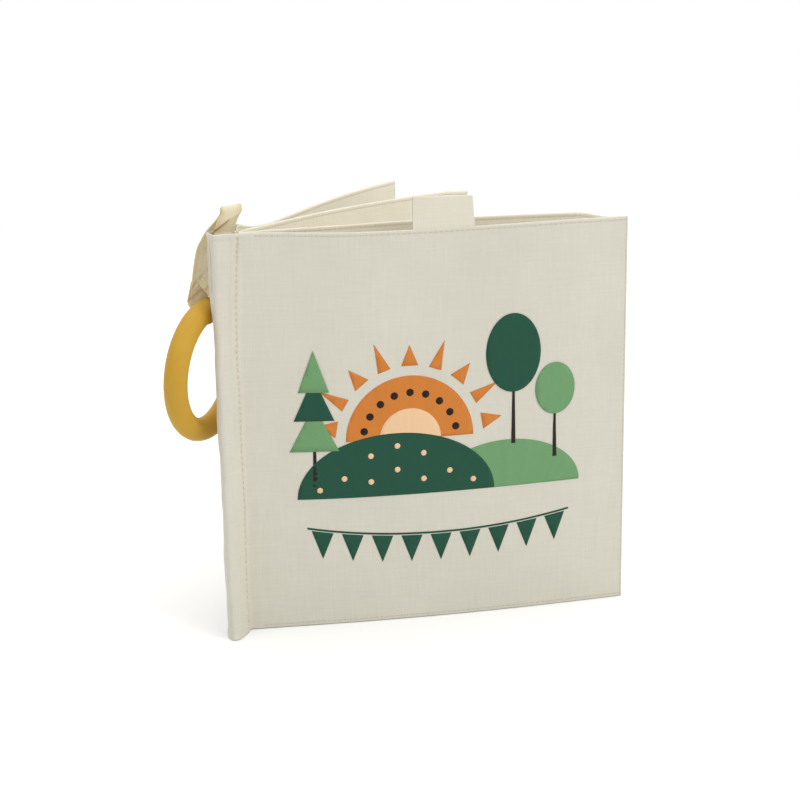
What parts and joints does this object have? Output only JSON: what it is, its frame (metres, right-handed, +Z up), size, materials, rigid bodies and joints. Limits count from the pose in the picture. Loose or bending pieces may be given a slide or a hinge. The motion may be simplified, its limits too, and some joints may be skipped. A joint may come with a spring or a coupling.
{
  "type": "crinkle cloth book",
  "caption": "Soft cloth book standing open like a fan, quilted leaves sewn into a spine sleeve, with a teether ring hanging from a folded tape strap and a tape label on the cover.",
  "frame": {"origin": "foot of the binding, on the stitch line that holds the front cover's margin", "axes": "+X along the front cover to its fore edge, +Y away from the front cover towards the back cover, +Z up the spine"},
  "size_m": [0.2116, 0.1593, 0.1928],
  "materials": {
    "cover_cloth": "matte woven cotton",
    "page_cloth": "matte woven cotton",
    "strap_tape": "matte cotton tape",
    "label_tape": "satin tape",
    "crinkle_film": "thin crinkle film",
    "polyester_wadding": "loose wadding",
    "ring_silicone": "satin moulded silicone"
  },
  "bodies": {
    "spine": {"spine_sleeve": "cover_cloth", "strap_tab": "strap_tape", "front_cover_margin": "cover_cloth", "page_1_margin": "page_cloth", "page_2_margin": "page_cloth", "back_cover_margin": "cover_cloth"},
    "front_cover": {"front_cover_face": "cover_cloth", "front_cover_film": "crinkle_film", "front_cover_wadding": "polyester_wadding", "front_cover_lining": "cover_cloth"},
    "page_1": {"page_1_front": "page_cloth", "page_1_film": "crinkle_film", "page_1_wadding": "polyester_wadding", "page_1_back": "page_cloth"},
    "page_2": {"page_2_front": "page_cloth", "page_2_film": "crinkle_film", "page_2_wadding": "polyester_wadding", "page_2_back": "page_cloth"},
    "back_cover": {"back_cover_lining": "cover_cloth", "back_cover_film": "crinkle_film", "back_cover_wadding": "polyester_wadding", "back_cover_face": "cover_cloth"},
    "care_label": {"care_label": "label_tape"},
    "strap": {"strap_band": "strap_tape"},
    "strap_loop": {"strap_loop": "strap_tape"},
    "teether_ring": {"teether_ring": "ring_silicone"}
  },
  "joints": [
    {"name": "front_cover_fold", "type": "hinge", "parent": "spine", "child": "front_cover", "pos_m": [0.0016, 0, 0], "axis": [0, 0, -1], "range_deg": [0, 95]},
    {"name": "page_1_fold", "type": "hinge", "parent": "spine", "child": "page_1", "pos_m": [0.00153, 0.0018, 0], "axis": [0, 0, 1], "range_deg": [-4, 0]},
    {"name": "page_2_fold", "type": "hinge", "parent": "page_1", "child": "page_2", "pos_m": [0.00083, 0.00346, 0], "axis": [0, 0, 1], "range_deg": [-30, 0]},
    {"name": "back_cover_fold", "type": "hinge", "parent": "page_2", "child": "back_cover", "pos_m": [-0.00049, 0.00468, 0], "axis": [0, 0, 1], "range_deg": [-7, 6]},
    {"name": "care_label_fold", "type": "hinge", "parent": "front_cover", "child": "care_label", "pos_m": [0.0905, -0.00402, 0.17942], "axis": [1, 0, 0], "range_deg": [-60, 60], "stiffness_Nm_per_rad": 0.0003},
    {"name": "strap_swing", "type": "hinge", "parent": "spine", "child": "strap", "pos_m": [-0.0009, 0.00985, 0.18805], "axis": [1, 0, 0], "range_deg": [0, 100]},
    {"name": "loop_swing", "type": "hinge", "parent": "strap", "child": "strap_loop", "pos_m": [-0.01421, 0.01707, 0.15544], "axis": [0.6101, 0.7923, 0], "range_deg": [0, 60]},
    {"name": "ring_turn", "type": "hinge", "parent": "strap_loop", "child": "teether_ring", "pos_m": [-0.0127, 0.0159, 0.1177], "axis": [0.7895, -0.608, -0.0837], "continuous": true}
  ]
}
